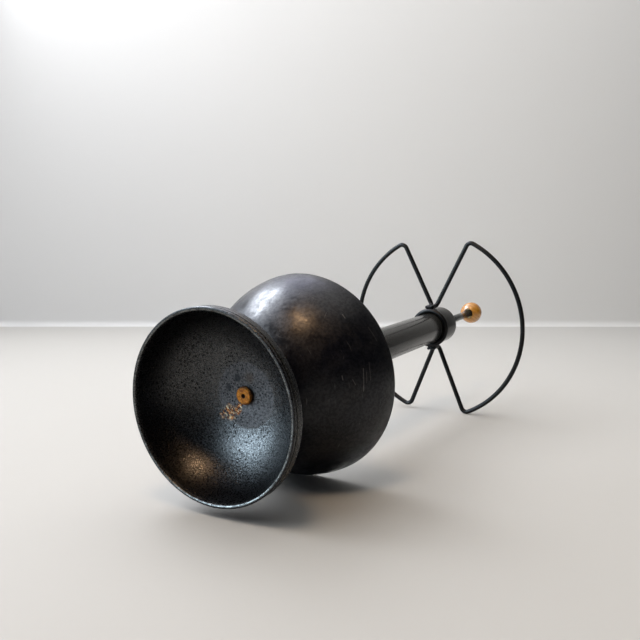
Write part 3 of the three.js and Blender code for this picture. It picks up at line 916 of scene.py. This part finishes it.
FLOOR_COLOURS = ((0.46, 0.452, 0.436), (0.58, 0.573, 0.556))
WALL_COLOURS = ((0.60, 0.605, 0.612), (0.76, 0.762, 0.755))
WALL_DISTANCE = 2.6               # metres behind the camera's place
WALL_HEIGHT = 3.5
FLOOR_NEARER = 1.5                # metres of floor on the near side of the camera
SET_HALF_WIDTH = 4
LEVEL_HALF_WIDTH = 3
COVE_RADIUS = 0.02
WORLD_LIGHT = 0.05                # what the surroundings give off towards the object
WORLD_SEEN = 0.6                  # how bright the camera sees them
WORLD_COLOUR = (0.93, 0.95, 1.0)


def make_set():
    """Floor under the lying stand, running back to a wall, and a level floor for the upright views."""
    nodes = [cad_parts[name] for name in ("bowl", "loop_left", "loop_right")]
    lowest = min(SET_UP.dot(v.co) for node in nodes for v in node.data.vertices)
    camera_forward = set_forward.dot(CAMERA_PLACE)
    wall = camera_forward + WALL_DISTANCE
    profile = [(camera_forward - FLOOR_NEARER, lowest), (wall - COVE_RADIUS, lowest)]
    profile += [(wall - COVE_RADIUS + x, lowest + COVE_RADIUS + y)
                for x, y in arc((0, 0), COVE_RADIUS, -90, 0, 8)[1:]]
    profile.append((wall, lowest + WALL_HEIGHT))
    work = bmesh.new()
    left, right = [[work.verts.new(set_point(side, up, forward)) for forward, up in profile]
                   for side in (-SET_HALF_WIDTH, SET_HALF_WIDTH)]
    for k in range(len(profile) - 1):
        face = work.faces.new((left[k], right[k], right[k + 1], left[k + 1]))
        face.material_index = min(k, 1)   # the first face is the floor, the others are the wall
    mesh = mesh_of(work, "set_floor")
    mesh.materials.append(one_sided("set_paint", *FLOOR_COLOURS))
    mesh.materials.append(one_sided("wall_paint", *WALL_COLOURS))
    floor = bpy.data.objects.new("set_floor", mesh)
    bpy.context.scene.collection.objects.link(floor)

    mesh = bpy.data.meshes.new("level_floor")
    size = LEVEL_HALF_WIDTH
    corners = [(-size, -size, 0), (size, -size, 0), (size, size, 0), (-size, size, 0)]
    mesh.from_pydata(corners, [], [(0, 1, 2, 3)])
    mesh.materials.append(one_sided("level_paint", *FLOOR_COLOURS))
    level = bpy.data.objects.new("level_floor", mesh)
    bpy.context.scene.collection.objects.link(level)
    level.visible_shadow = False
    level.visible_diffuse = False
    level.visible_glossy = False
    level.visible_transmission = False


# Places and targets are along the set's right, up and forward, in metres from the foot's centre.
LIGHT_TARGET = (0.1, 0.0, 0.15)
WALL_TARGET = (0.5, 0.95, 1.95)
LIGHTS = [                        # name, place, target, size, watts, colour, what it lights
    ("window_back", (-0.86, 1.37, 0.78), LIGHT_TARGET, (0.95, 0.46), 60, (0.86, 0.92, 1.0), "glossy"),
    ("window_glow", (-0.60, 1.57, 0.98), LIGHT_TARGET, (2.2, 1.2), 22, (0.76, 0.78, 1.0), "glossy"),
    ("window_left", (-2.03, 0.70, -0.30), LIGHT_TARGET, (2.0, 1.25), 96, (0.68, 0.86, 1.0), "glossy"),
    ("window_soft", (-1.05, 1.50, 0.80), LIGHT_TARGET, (2.2, 1.3), 50, (0.97, 0.98, 1.0), "diffuse"),
    ("left_fill", (-1.20, 1.90, -0.90), LIGHT_TARGET, (1.4, 1.4), 15, (0.93, 0.97, 1.0), "diffuse"),
    ("ceiling", (0.50, 2.1, 0.5), LIGHT_TARGET, (1.8, 1.6), 11, (1.0, 0.98, 0.95), "both"),
    ("warm_lamp", (-0.14, 1.95, -0.62), LIGHT_TARGET, (0.10, 0.10), 24, (1.0, 0.62, 0.33), "glossy"),
    ("warm_fill", (-0.14, 1.95, -0.62), LIGHT_TARGET, (0.5, 0.5), 11, (1.0, 0.76, 0.52), "diffuse"),
    ("wall_wash", (0.5, 2.0, 1.0), WALL_TARGET, (3.6, 0.4), 11, (0.99, 0.99, 1.0), "diffuse"),
    ("fill_below", (0.6, -1.8, 0.4), LIGHT_TARGET, (2.0, 2.0), 2, (1.0, 0.97, 0.92), "diffuse"),
]


def area_light(name, place, target, size, power, colour, lights):
    """A light level with the set that shows in reflections, in matte surfaces, or in both."""
    light = bpy.data.lights.new(name, "AREA")
    light.shape = "RECTANGLE"
    light.size, light.size_y = size
    light.energy = power
    light.color = colour
    holder = bpy.data.objects.new(name, light)
    bpy.context.scene.collection.objects.link(holder)
    ahead = (target - place).normalized()
    across = ahead.cross(SET_UP).normalized()
    turn = Matrix((across, across.cross(ahead), -ahead)).transposed()
    holder.matrix_world = Matrix.Translation(place) @ turn.to_4x4()
    holder.visible_camera = False
    holder.visible_diffuse = lights != "glossy"
    holder.visible_glossy = lights != "diffuse"


def make_lights():
    for name, place, target, size, power, colour, lights in LIGHTS:
        area_light(name, set_point(*place), set_point(*target), size, power, colour, lights)


def make_world():
    """Surroundings that the camera sees brighter than the light they give."""
    world = bpy.data.worlds.new("world")
    bpy.context.scene.world = world
    world.use_nodes = True
    tree = world.node_tree
    background = tree.nodes["Background"]
    background.inputs[0].default_value = (*WORLD_COLOUR, 1)
    seen = tree.nodes.new("ShaderNodeLightPath").outputs["Is Camera Ray"]
    strength = tree.nodes.new("ShaderNodeMapRange")
    strength.inputs["To Min"].default_value = WORLD_LIGHT
    strength.inputs["To Max"].default_value = WORLD_SEEN
    tree.links.new(seen, strength.inputs["Value"])
    tree.links.new(strength.outputs[0], background.inputs[1])


# ---- build ----------------------------------------------------------------------------------

make_camera()
make_foot()
make_foot_bolt()
make_bowl()
make_column()
make_cap()
make_loop("loop_right", 1, RIGHT_LOOP)
make_loop("loop_left", -1, LEFT_LOOP)
make_rack_ring()
make_weld("weld_front", 3)
make_weld("weld_back", 8)
make_ring("cap_washer", ROD_CLEAR_HOLE, "bare_steel", 0.3, "rack")
make_nut()
make_rod()
make_ball()
make_ring("ball_insert", ROD_THREAD_HOLE, "brass", 0.3, "ball")
make_set()
make_lights()
make_world()

bpy.context.scene.view_settings.view_transform = "Standard"
